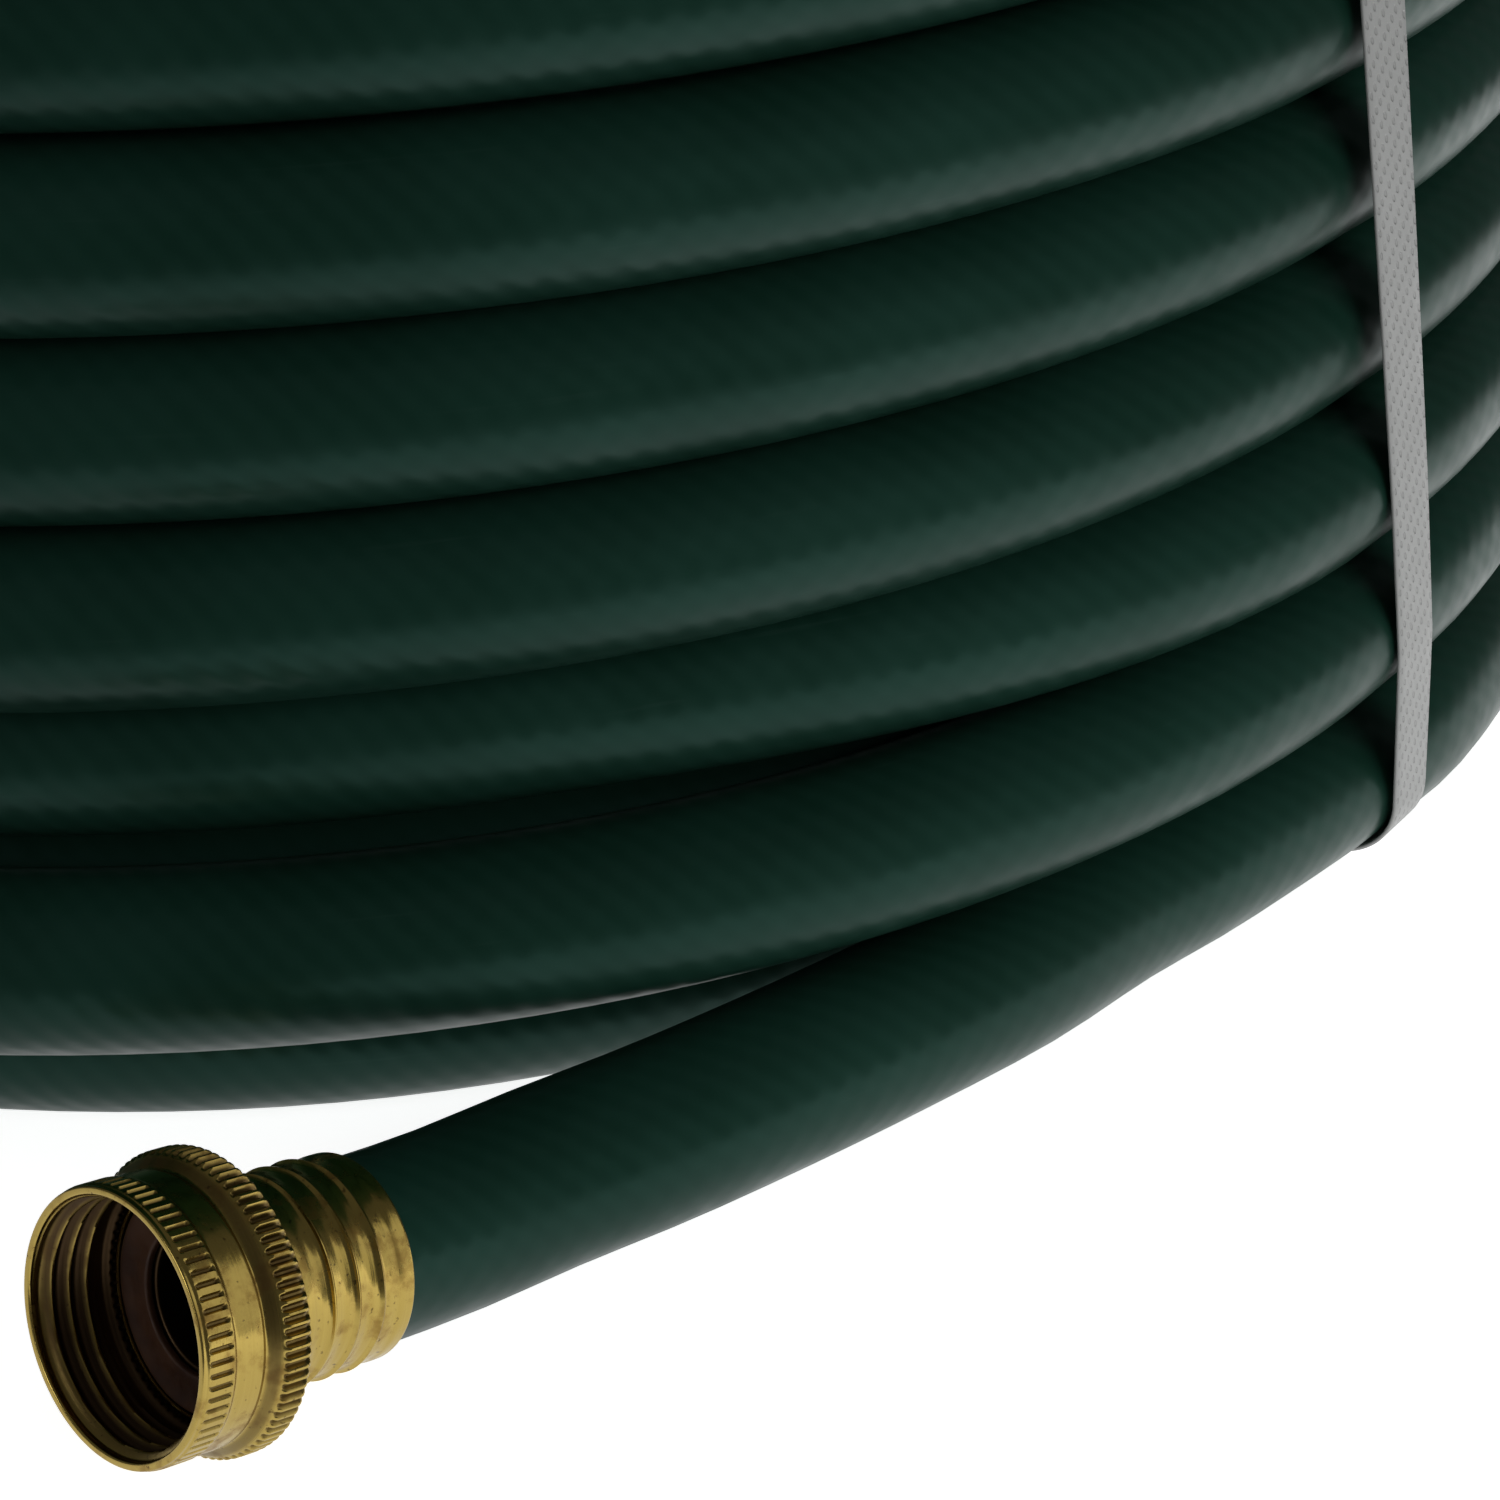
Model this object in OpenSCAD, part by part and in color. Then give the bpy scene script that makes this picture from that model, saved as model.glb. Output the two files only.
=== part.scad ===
// Garden soaker hose, wound into a two-layer coil and tied with four straps.
// The coil stands on the floor with its axis upright. The outer layer's lowest turn leaves
// the coil at the front left and ends in a brass swivel coupling with a 3/4 inch hose thread.
// The inner layer's lowest turn leaves inside the coil and ends in a male coupling with a
// screwed end cap, which closes the hose so that it can weep.
// Millimetres, +Z up, origin on the floor at the middle of the whole object's outline.

/* [Hose] */
// Outside diameter of the hose
hose_d = 20; // [19.6:0.1:20.2]
// Bore of the hose, nominal 5/8 inch
hose_bore = 15.9; // [15.4:0.1:16.2]

/* [Coil] */
// Radius of the outer layer at the middle of its turns
outer_turn_r = 167; // [166:0.5:168]
// Clear gap between the outer and the inner layer
layer_gap = 0.5; // [0.3:0.1:0.8]
// Number of turns that lie one above the other
levels = 8; // [6:1:9]
// Height from one turn to the next
turn_pitch = 20.6; // [20.4:0.1:21.4]

/* [Straps] */
// Width of a strap
strap_w = 8; // [5:0.5:9]
// Thickness of a strap
strap_t = 0.5; // [0.4:0.1:0.6]
// Clear gap between a strap and the hose
strap_gap = 0.1; // [0.1:0.05:0.2]
// Length of the welded overlap on the inner side
strap_overlap = 40; // [20:5:60]
// Direction of the first strap about the coil's axis
strap_first = -39; // [-41:1:-37]

/* [Hose thread] */
// Major diameter of the female 3/4-11.5 NH thread
female_thread_d = 27.24; // [27.2:0.02:27.4]
// Major diameter of the male 3/4-11.5 NHR thread
male_thread_d = 26.98; // [26.8:0.02:27]
// Threaded length inside the swivel nut
female_thread_l = 8.6; // [8.4:0.1:9]
// Threaded length on the male shank
male_thread_l = 14; // [13:0.5:15]

/* [Couplings] */
// Length of a crimped ferrule
ferrule_l = 16.4; // [16:0.1:16.8]
// Outside diameter of a ferrule between its ridges
ferrule_d = 21.7; // [21.7:0.1:22.2]
// Wall of the stamped brass
brass_t = 0.7; // [0.6:0.05:0.75]
// Diameter of the neck that the swivel nut turns on
neck_d = 17.8; // [17.6:0.1:17.9]
// Radial running clearance of the nut on the neck
neck_clearance = 0.1; // [0.05:0.05:0.1]
// Diameter of the nut's knurled flange
nut_flange_d = 31.8; // [31.6:0.1:32.2]
// Diameter of the nut's front rim
nut_rim_d = 29.4; // [29.2:0.1:29.8]
// Outside diameter of the end cap
cap_d = 31.6; // [31:0.1:32]

/* [Hidden] */
$fn = 96;

// Coil
hose_r = hose_d / 2;
inner_turn_r = outer_turn_r - hose_d - layer_gap;
coil_out_r = outer_turn_r + hose_r;
coil_in_r = inner_turn_r - hose_r;
coil_base = strap_t + strap_gap;
coil_top = coil_base + hose_d + (levels - 1) * turn_pitch;
coil_y = 23;

// Free hose runs, along the middle of the hose
inlet_route = [
  [21.6, -170.9, 11.9], [26.9, -166.3, 10.8], [32.3, -162, 10.2], [41.6, -155, 10],
  [53.5, -147.1, 10], [66.9, -137.1, 10], [80.3, -126.3, 10], [93.3, -115, 10],
  [106.3, -103.7, 10]
];
outlet_route = [
  [12, 135, 16.4], [28, 134, 16.4], [44, 131, 16], [59, 125.5, 15.1], [74, 118, 13.7],
  [88, 109, 12.2], [101, 98, 11], [113, 84, 10.2], [123, 69, 10], [132, 52, 10],
  [138, 34, 10], [142, 14, 10.1], [142, -6, 10.3], [138, -26, 10.5], [130, -45, 10.6]
];
run_sides = 12;

// Directions of the couplings: heading about +Z, and tilt above the floor
inlet_heading = 223.8;
inlet_tilt = 12.4;
outlet_heading = 179;
outlet_tilt = 0;

// Heights along a coupling, from the open end of its ferrule
insert_start = 0.6;
hose_stop = 15.2;
nut_back = 17;
nut_wall = 1;
recess_back = nut_back + nut_wall;
recess_l = 2.8;
thread_back = recess_back + recess_l;
nut_front = thread_back + female_thread_l + 0.6;
shank_collar_back = 16.6;
shank_collar_l = 1.8;
male_thread_back = shank_collar_back + shank_collar_l;
male_front = male_thread_back + male_thread_l;

// Radii of a coupling
bore_r = hose_bore / 2;
insert_bore_r = bore_r - brass_t;
liner_r = bore_r + 0.8;
braid_r = liner_r + 0.6;
ferrule_r = ferrule_d / 2;
ferrule_bore_r = ferrule_r - brass_t;
ferrule_ridges = [4.3, 7.5, 10.7];
ridge_r = 0.4;
ridge_height = 0.3;
neck_r = neck_d / 2;
nut_hole_r = neck_r + neck_clearance;
recess_r = 12.9;
nut_flange_r = nut_flange_d / 2;
nut_rim_r = nut_rim_d / 2;
nut_band_r = nut_rim_r - 0.25;
shoulder_r = 1.4;
female_thread_r = female_thread_d / 2;
male_thread_r = male_thread_d / 2;
tail_flange_r = 12.4;
tail_flange_l = 0.9;
collar_r = 14.4;

// Washers and cap
washer_hole_r = 8;
washer_r = 12.7;
washer_l = 1.4;
face_gap = 0.2;
cap_washer_hole_r = 6.5;
cap_washer_r = 13.3;
cap_washer_l = 2.3;
cap_end_back = male_front + cap_washer_l + 2 * face_gap;
cap_end_t = 1.4;
cap_skirt_back = 22;
cap_r = cap_d / 2;
cap_edge_r = 0.9;

hose_colour = [0.05, 0.15, 0.12];
brass_colour = [0.72, 0.60, 0.27];

// ---- shared shapes ----

function unit(v) = v / norm(v);

// Tangent of a route at point k, by its neighbours
function tangent(route, k) =
  unit(route[min(k + 1, len(route) - 1)] - route[max(k - 1, 0)]);

// Circle of points round p, square to t
function ring(p, t, r, n) =
  let (side = unit(cross(t, [0, 0, 1])), up = cross(side, t))
  [for (i = [0:n - 1]) p + r * (cos(360 * i / n) * side + sin(360 * i / n) * up)];

// Round cord swept along a route; first_dir squares its first face to a coupling
module swept_cord(route, first_dir, r, n) {
  rings = len(route);
  points = [
    for (k = [0:rings - 1])
      each ring(route[k], k == 0 ? first_dir : tangent(route, k), r, n)
  ];
  first_face = [for (i = [n - 1:-1:0]) i];
  last_face = [for (i = [0:n - 1]) (rings - 1) * n + i];
  side_faces = [
    for (k = [0:rings - 2], i = [0:n - 1])
      let (a = k * n + i, b = k * n + (i + 1) % n)
      each [[a, b, b + n], [a, b + n, a + n]]
  ];
  polyhedron(points, concat([first_face], side_faces, [last_face]));
}

// Unit vector of a heading and a tilt
function direction(heading, tilt) =
  [cos(heading) * cos(tilt), sin(heading) * cos(tilt), sin(tilt)];

// Puts a coupling piece, drawn along +Z from the ferrule's open end, at the end of a run
module at_coupling(end, heading, tilt) {
  translate(end) rotate([0, 90 - tilt, heading]) children();
}
module at_inlet() at_coupling(inlet_route[0], inlet_heading, inlet_tilt) children();
module at_outlet() at_coupling(outlet_route[0], outlet_heading, outlet_tilt) children();

// Tube along +Z from z0 to z1
module tube(r_in, r_out, z0, z1) {
  rotate_extrude() translate([r_in, z0]) square([r_out - r_in, z1 - z0]);
}

// Rectangle with round corners, from its corner points
module round_rect(x0, y0, x1, y1, r) {
  translate([x0 + r, y0]) square([x1 - x0 - 2 * r, y1 - y0]);
  translate([x0, y0 + r]) square([x1 - x0, y1 - y0 - 2 * r]);
  for (x = [x0 + r, x1 - r], y = [y0 + r, y1 - r]) translate([x, y]) circle(r);
}

// ---- hose ----

// The closed outer shape of the wound turns
module hose_coil() {
  color(hose_colour) translate([0, coil_y, 0]) rotate_extrude()
    round_rect(coil_in_r, coil_base, coil_out_r, coil_top, hose_r);
}

module inlet_hose_run() {
  color(hose_colour)
    swept_cord(inlet_route, -direction(inlet_heading, inlet_tilt), hose_r, run_sides);
}

module outlet_hose_run() {
  color(hose_colour)
    swept_cord(outlet_route, -direction(outlet_heading, outlet_tilt), hose_r, run_sides);
}

// The hose end inside a ferrule: inner tube, yarn layer and cover
module hose_end_liner() tube(bore_r, liner_r, 0, hose_stop);
module hose_end_braid() tube(liner_r, braid_r, 0, hose_stop);
module hose_end_cover() tube(braid_r, ferrule_bore_r, 0, hose_stop);

module inlet_hose_liner() color([0.12, 0.13, 0.13]) at_inlet() hose_end_liner();
module inlet_hose_braid() color([0.85, 0.84, 0.78]) at_inlet() hose_end_braid();
module inlet_hose_cover() color(hose_colour) at_inlet() hose_end_cover();
module outlet_hose_liner() color([0.12, 0.13, 0.13]) at_outlet() hose_end_liner();
module outlet_hose_braid() color([0.85, 0.84, 0.78]) at_outlet() hose_end_braid();
module outlet_hose_cover() color(hose_colour) at_outlet() hose_end_cover();

// ---- couplings ----

// Crimped sleeve with a rolled mouth, three raised ridges and a turned-in front wall
module ferrule() {
  lip_r = brass_t / 2;
  rotate_extrude() {
    translate([ferrule_bore_r, lip_r]) square([brass_t, ferrule_l - lip_r]);
    translate([ferrule_bore_r + lip_r, lip_r]) circle(lip_r);
    translate([neck_r, ferrule_l - brass_t]) square([ferrule_r - neck_r, brass_t]);
    for (z = ferrule_ridges)
      translate([ferrule_r + ridge_height - ridge_r, z]) circle(ridge_r);
  }
}

module inlet_ferrule() color(brass_colour) at_inlet() ferrule();
module outlet_ferrule() color(brass_colour) at_outlet() ferrule();

// Insert in the hose, neck for the nut, and the flange that holds the nut and seats the washer
module inlet_tailpiece() {
  flange_back = recess_back + face_gap;
  color(brass_colour) at_inlet() rotate_extrude() {
    translate([insert_bore_r, insert_start])
      square([brass_t, flange_back + tail_flange_l - insert_start]);
    translate([insert_bore_r, hose_stop])
      square([neck_r - insert_bore_r, flange_back + tail_flange_l - hose_stop]);
    translate([insert_bore_r, flange_back])
      square([tail_flange_r - insert_bore_r, tail_flange_l]);
  }
}

// Outline of the nut: chamfered flange, round shoulder, plain band, knurl band and rim
module nut_outline() {
  chamfer = 1;
  shoulder_front = thread_back + shoulder_r;
  rim_l = 3.4;
  rim_edge_r = 0.4;
  polygon([
    [0, nut_back], [nut_flange_r - chamfer, nut_back],
    [nut_flange_r, nut_back + chamfer], [nut_flange_r, thread_back],
    [nut_flange_r - shoulder_r, thread_back + shoulder_r], [nut_band_r, shoulder_front],
    [nut_band_r, nut_front - rim_l], [nut_rim_r, nut_front - rim_l],
    [nut_rim_r, nut_front - rim_edge_r], [nut_rim_r - rim_edge_r, nut_front], [0, nut_front]
  ]);
  translate([nut_flange_r - shoulder_r, thread_back]) circle(shoulder_r);
}

module inlet_swivel_nut() {
  mouth = nut_front - thread_back - female_thread_l;
  cut = 1;
  color(brass_colour) at_inlet() rotate_extrude() difference() {
    nut_outline();
    translate([0, nut_back - cut]) square([nut_hole_r, nut_wall + 2 * cut]);
    translate([0, recess_back]) square([recess_r, recess_l + cut]);
    translate([0, thread_back]) square([female_thread_r, nut_front - thread_back + cut]);
    polygon([
      [0, nut_front - mouth], [female_thread_r, nut_front - mouth],
      [female_thread_r + mouth / 2, nut_front + cut], [0, nut_front + cut]
    ]);
  }
}

module inlet_washer() {
  back = recess_back + tail_flange_l + 2 * face_gap;
  color([0.1, 0.1, 0.1]) at_inlet() tube(washer_hole_r, washer_r, back, back + washer_l);
}

module outlet_threaded_shank() {
  edge = 0.8;
  color(brass_colour) at_outlet() rotate_extrude() difference() {
    union() {
      translate([0, insert_start]) square([bore_r, male_front - insert_start]);
      translate([0, hose_stop]) square([neck_r, male_thread_back - hose_stop]);
      translate([0, shank_collar_back]) square([collar_r, shank_collar_l]);
      polygon([
        [0, male_thread_back], [male_thread_r, male_thread_back],
        [male_thread_r, male_front - edge], [male_thread_r - edge, male_front], [0, male_front]
      ]);
    }
    square([insert_bore_r, male_front + 1]);
  }
}

module cap_washer() {
  back = male_front + face_gap;
  color([0.1, 0.1, 0.1]) at_outlet()
    tube(cap_washer_hole_r, cap_washer_r, back, back + cap_washer_l);
}

module end_cap() {
  front = cap_end_back + cap_end_t;
  color(brass_colour) at_outlet() rotate_extrude() {
    translate([female_thread_r, cap_skirt_back])
      square([cap_r - female_thread_r, front - cap_edge_r - cap_skirt_back]);
    translate([0, cap_end_back]) square([cap_r - cap_edge_r, cap_end_t]);
    translate([cap_r - cap_edge_r, front - cap_edge_r]) circle(cap_edge_r);
  }
}

// ---- straps ----

// Band round the coil's section in a radial plane, with a welded overlap on the inner side
module strap(turn) {
  x0 = coil_in_r - strap_gap;
  x1 = coil_out_r + strap_gap;
  y0 = coil_base - strap_gap;
  y1 = coil_top + strap_gap;
  r = hose_r + strap_gap;
  t = strap_t;
  color([0.72, 0.72, 0.71]) translate([0, coil_y, 0])
    rotate([0, 0, strap_first + turn * 90]) rotate([90, 0, 0])
      translate([0, 0, -strap_w / 2]) linear_extrude(strap_w) {
        difference() {
          round_rect(x0 - t, y0 - t, x1 + t, y1 + t, r + t);
          round_rect(x0, y0, x1, y1, r);
        }
        translate([x0 - 2 * t, (y0 + y1 - strap_overlap) / 2]) square([1.5 * t, strap_overlap]);
      }
}

module strap_front_right() strap(0);
module strap_back_right() strap(1);
module strap_back_left() strap(2);
module strap_front_left() strap(3);

hose_coil();
inlet_hose_run();
outlet_hose_run();
inlet_hose_liner();
inlet_hose_braid();
inlet_hose_cover();
inlet_ferrule();
inlet_tailpiece();
inlet_swivel_nut();
inlet_washer();
outlet_hose_liner();
outlet_hose_braid();
outlet_hose_cover();
outlet_ferrule();
outlet_threaded_shank();
cap_washer();
end_cap();
strap_front_right();
strap_back_right();
strap_back_left();
strap_front_left();
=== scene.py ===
"""Garden hose in a two-layer coil, tied with straps, with a brass swivel coupling on its free end.

Lengths are in millimetres until a mesh is made, and MM turns them into metres.
"""

import math

import bpy
import numpy as np
from mathutils import Matrix, Vector


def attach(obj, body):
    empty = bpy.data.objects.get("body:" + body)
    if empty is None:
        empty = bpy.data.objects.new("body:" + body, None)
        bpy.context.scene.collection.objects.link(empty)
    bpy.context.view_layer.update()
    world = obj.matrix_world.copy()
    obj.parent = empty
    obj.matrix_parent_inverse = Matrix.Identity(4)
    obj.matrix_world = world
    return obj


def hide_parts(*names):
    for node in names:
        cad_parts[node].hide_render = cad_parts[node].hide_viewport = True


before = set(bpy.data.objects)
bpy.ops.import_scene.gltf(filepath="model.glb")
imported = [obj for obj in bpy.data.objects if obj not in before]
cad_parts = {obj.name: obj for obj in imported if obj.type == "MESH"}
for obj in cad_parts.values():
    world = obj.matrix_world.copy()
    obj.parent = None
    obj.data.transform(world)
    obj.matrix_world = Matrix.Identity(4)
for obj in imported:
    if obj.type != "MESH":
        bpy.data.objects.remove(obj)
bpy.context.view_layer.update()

MM = 0.001

# ---- camera ----

CAMERA_AT = (65.5, -545.8, 280.7)
CAMERA_YAW = -0.0024
CAMERA_PITCH = 0.5113
CAMERA_ROLL = -0.0267
SENSOR = 36.0
LENS = 107.0


def make_camera():
    """The camera looks along +Y and down, with a slight roll."""
    level = math.cos(CAMERA_PITCH)
    forward = Vector((math.sin(CAMERA_YAW) * level, math.cos(CAMERA_YAW) * level,
                      -math.sin(CAMERA_PITCH)))
    right = Vector((math.cos(CAMERA_YAW), -math.sin(CAMERA_YAW), 0))
    up = right.cross(forward)
    side = right * math.cos(CAMERA_ROLL) + up * math.sin(CAMERA_ROLL)
    top = up * math.cos(CAMERA_ROLL) - right * math.sin(CAMERA_ROLL)
    data = bpy.data.cameras.new("camera")
    data.sensor_width = SENSOR
    data.lens = LENS
    data.clip_start = 0.01
    camera = bpy.data.objects.new("camera", data)
    turn = Matrix((side, top, -forward)).transposed().to_4x4()
    camera.matrix_world = Matrix.Translation(Vector(CAMERA_AT) * MM) @ turn
    bpy.context.scene.collection.objects.link(camera)
    bpy.context.scene.camera = camera


make_camera()

# ---- sizes of the coil and the couplings, as the CAD model has them ----

HOSE_D = 20.0
HOSE_R = HOSE_D / 2
COIL_Y = 23.0
OUTER_R = 167.0
INNER_R = 146.5
FIRST_Z = 10.6
TURN_PITCH = 20.6

INLET_ROUTE = [
    (21.6, -170.9, 11.9), (26.9, -166.3, 10.8), (32.3, -162, 10.2), (41.6, -155, 10),
    (53.5, -147.1, 10), (66.9, -137.1, 10), (80.3, -126.3, 10), (93.3, -115, 10),
    (106.3, -103.7, 10),
]
OUTLET_ROUTE = [
    (12, 135, 16.4), (28, 134, 16.4), (44, 131, 16), (59, 125.5, 15.1), (74, 118, 13.7),
    (88, 109, 12.2), (101, 98, 11), (113, 84, 10.2), (123, 69, 10), (132, 52, 10),
    (138, 34, 10), (142, 14, 10.1), (142, -6, 10.3), (138, -26, 10.5), (130, -45, 10.6),
]
# Heading and tilt, in degrees, of each coupling's way out of the hose
INLET_AIM = (223.8, 12.4)
OUTLET_AIM = (179.0, 0.0)
# Each strap's direction about the axis at half height, and how it leans, in degrees a millimetre
STRAPS = {
    "strap_front_right": (-38.85, -0.054),
    "strap_back_right": (54.0, 0.012),
    "strap_back_left": (144.0, -0.01),
    "strap_front_left": (234.0, 0.008),
}
HALF_HEIGHT = 82.5

# ---- the hose's course ----

OUTER_START = -50.0     # where the free end leaves the outer layer
OUTER_TURNS = 7.4
CROSS_END = 170.0       # where the hose has crossed to the inner layer
INNER_TURNS = 7.45
# Where in each turn a layer climbs to the next level, and over how much of the turn
OUTER_CLIMB = (0.5, 0.3)
INNER_CLIMB = (0.6, 0.27)
START_DROP = 0.6        # the first turn starts this much lower, to meet the free end
START_DROP_SPAN = 12.0
FRONT = -90.0           # the side of the coil that faces the camera
FRONT_HALF = 110.0
FRONT_EDGE = 45.0
STRAY_UNIT = 60.0
ANGLE_STEP = 5.0
RING_STEP = 6.0         # between the rings of the hose's tube
END_INSIDE = 5.0        # how far the hose's tube reaches into each ferrule
CURVE_PARTS = 12        # straight parts in the curve between two guides

# How each turn strays from an even coil across the front: its rise, the rise's change over
# STRAY_UNIT degrees, and its recess towards the axis.
STRAY = {
    1: (0.5, 1.8, 0.0),
    2: (0.6, 1.6, 0.0),
    3: (-0.5, 2.2, 2.2),
    4: (0.0, 1.0, 2.4),
    5: (0.3, 0.0, 1.3),
    6: (0.7, 0.0, 1.9),
    7: (0.3, 0.0, 1.0),
}
# Two turns have slipped inwards over a short way: one low on the front, and the lowest one
# where the strap pulls on it. Level, middle, half width, soft edge, recess and rise.
SLIPS = [(2, -115.0, 77.0, 40.0, 9.5, 0.7), (0, -48.7, 22.0, 18.0, 3.4, 0.0)]


def smooth(t):
    """0 up to 0, 1 from 1, and a smooth rise between them."""
    t = min(max(t, 0.0), 1.0)
    return t * t * (3 - 2 * t)


def window(angle, middle, half, edge):
    """1 near the middle angle and 0 past half degrees from it, with soft edges."""
    away = abs((angle - middle + 180) % 360 - 180)
    return 1 - smooth((away - (half - edge)) / edge)


def turn_stray(turn, angle):
    """Rise and recess of a whole turn, at that angle about the axis."""
    rise, rise_slope, recess = STRAY.get(turn, (0, 0, 0))
    off = ((angle - FRONT + 180) % 360 - 180) / STRAY_UNIT
    share = window(angle, FRONT, FRONT_HALF, FRONT_EDGE)
    up = share * (rise + rise_slope * off)
    inwards = share * recess
    for slipped, middle, half, edge, slip, slip_rise in SLIPS:
        if turn == slipped:
            slip_share = window(angle, middle, half, edge)
            up += slip_share * slip_rise
            inwards += slip_share * slip
    return np.array((up, inwards))


def coil_point(angle, radius, level, rises=1.0):
    """A point of the coil. The stray blends from turn to turn while the hose climbs."""
    low = math.floor(level)
    share = level - low
    stray = (1 - share) * turn_stray(low, angle) + share * turn_stray(low + 1, angle)
    r = radius - stray[1]
    a = math.radians(angle)
    z = FIRST_Z + TURN_PITCH * level + rises * stray[0]
    return (r * math.cos(a), COIL_Y + r * math.sin(a), z)


def climbed_level(turns, climb):
    """Level of a layer after that many turns, as it climbs over one part of each turn."""
    whole = math.floor(turns)
    climb_start, climb_span = climb
    return whole + smooth((turns - whole - climb_start) / climb_span)


def aim_vector(aim):
    """The direction of a heading and a tilt, in degrees."""
    heading, tilt = (math.radians(v) for v in aim)
    return np.array((math.cos(heading) * math.cos(tilt), math.sin(heading) * math.cos(tilt),
                     math.sin(tilt)))


def hose_guides():
    """Points along the whole hose. Each end lies a little way inside its ferrule."""
    points = [tuple(INLET_ROUTE[0] + END_INSIDE * aim_vector(INLET_AIM))]
    points += [tuple(p) for p in INLET_ROUTE[:-1]]
    outer_end = OUTER_START + 360 * OUTER_TURNS
    angle = OUTER_START
    while angle < outer_end:
        level = climbed_level((angle - OUTER_START) / 360, OUTER_CLIMB)
        x, y, z = coil_point(angle, OUTER_R, level)
        drop = START_DROP * (1 - smooth((angle - OUTER_START) / START_DROP_SPAN))
        points.append((x, y, z - drop))
        angle += ANGLE_STEP
    top = math.floor(OUTER_TURNS)
    cross_end = CROSS_END + 360 * top
    while angle < cross_end:
        share = smooth((angle - outer_end) / (cross_end - outer_end))
        points.append(coil_point(angle, OUTER_R + (INNER_R - OUTER_R) * share, top, 1 - share))
        angle += ANGLE_STEP
    # The inner layer runs downwards, so its turns are counted from its lower end
    inner_end = cross_end + 360 * INNER_TURNS
    while angle < inner_end - ANGLE_STEP:
        level = climbed_level((inner_end - angle) / 360, INNER_CLIMB)
        points.append(coil_point(angle, INNER_R, level, 0.0))
        angle += ANGLE_STEP
    points += [tuple(p) for p in reversed(OUTLET_ROUTE)]
    return points + [tuple(OUTLET_ROUTE[0] + END_INSIDE * aim_vector(OUTLET_AIM))]


def even_points(guides, step):
    """Points a step apart on a smooth curve through the guides (Catmull-Rom)."""
    g = np.array(guides, float)
    g = np.vstack([2 * g[0] - g[1], g, 2 * g[-1] - g[-2]])
    fine = []
    t = np.linspace(0, 1, CURVE_PARTS, endpoint=False)[:, None]
    for a, b, c, d in zip(g[:-3], g[1:-2], g[2:-1], g[3:]):
        fine.append(0.5 * (2 * b + (c - a) * t + (2 * a - 5 * b + 4 * c - d) * t ** 2
                           + (3 * b - a - 3 * c + d) * t ** 3))
    fine = np.vstack(fine + [g[-2:-1]])
    along = np.concatenate([[0], np.cumsum(np.linalg.norm(np.diff(fine, axis=0), axis=1))])
    count = int(round(along[-1] / step))
    at = np.linspace(0, along[-1], count + 1)
    return np.stack([np.interp(at, along, fine[:, i]) for i in range(3)], 1), at


hose_path, hose_along = even_points(hose_guides(), RING_STEP)


# ---- mesh helpers ----


def new_piece(name, verts, faces, material, smooth_shaded=True):
    """A mesh object from points in millimetres."""
    mesh = bpy.data.meshes.new(name)
    mesh.from_pydata((np.asarray(verts, float) * MM).tolist(), [], faces)
    mesh.materials.append(material)
    mesh.update()
    if smooth_shaded:
        mesh.shade_smooth()
    piece = bpy.data.objects.new(name, mesh)
    bpy.context.scene.collection.objects.link(piece)
    return piece


def grid_faces(rows, columns, wrap_rows=False):
    """Faces of a grid that is closed across its columns, and round its rows if asked."""
    i = np.arange(rows if wrap_rows else rows - 1)[:, None]
    j = np.arange(columns)[None, :]
    below, right = (i + 1) % rows, (j + 1) % columns
    corners = (i * columns + j, i * columns + right, below * columns + right, below * columns + j)
    return np.stack([np.broadcast_to(c, (len(i), columns)) for c in corners], -1).reshape(-1, 4)


def set_uv(mesh, name, uv_of_corner):
    """A UV layer, from one pair of numbers for each corner of each face."""
    layer = mesh.uv_layers.new(name=name)
    layer.data.foreach_set("uv", np.asarray(uv_of_corner, np.float32).ravel())


# ---- hose ----

HOSE_SIDES = 32
PINCH_HALF = 7.0        # half the length of hose that a strap presses in
PINCH_DEPTH = 0.35


def sweep_frames(path):
    """Sideways and upward unit vectors, square to the path, at each of its points."""
    along = np.gradient(path, axis=0)
    along /= np.linalg.norm(along, axis=1)[:, None]
    side = np.cross(along, (0, 0, 1.0))
    side /= np.linalg.norm(side, axis=1)[:, None]
    return side, np.cross(side, along)


def strap_angle(strap, z):
    """A strap's direction about the axis at that height, in degrees."""
    middle, lean = STRAPS[strap]
    return middle + lean * (z - HALF_HEIGHT)


def about_axis(points):
    """Radius and angle, in degrees, about the coil's axis."""
    x, y = points[:, 0], points[:, 1] - COIL_Y
    return np.hypot(x, y), np.degrees(np.arctan2(y, x))


def strap_pinch(path):
    """How deep a strap presses into the hose at each point of the path, from 0 to 1."""
    radius, angle = about_axis(path)
    pinch = np.zeros(len(path))
    for strap in STRAPS:
        off = angle - strap_angle(strap, path[:, 2])
        away = np.radians((off + 180) % 360 - 180) * radius
        pinch = np.maximum(pinch, np.exp(-(away / PINCH_HALF) ** 2))
    return pinch * (radius > OUTER_R - HOSE_R)


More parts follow.
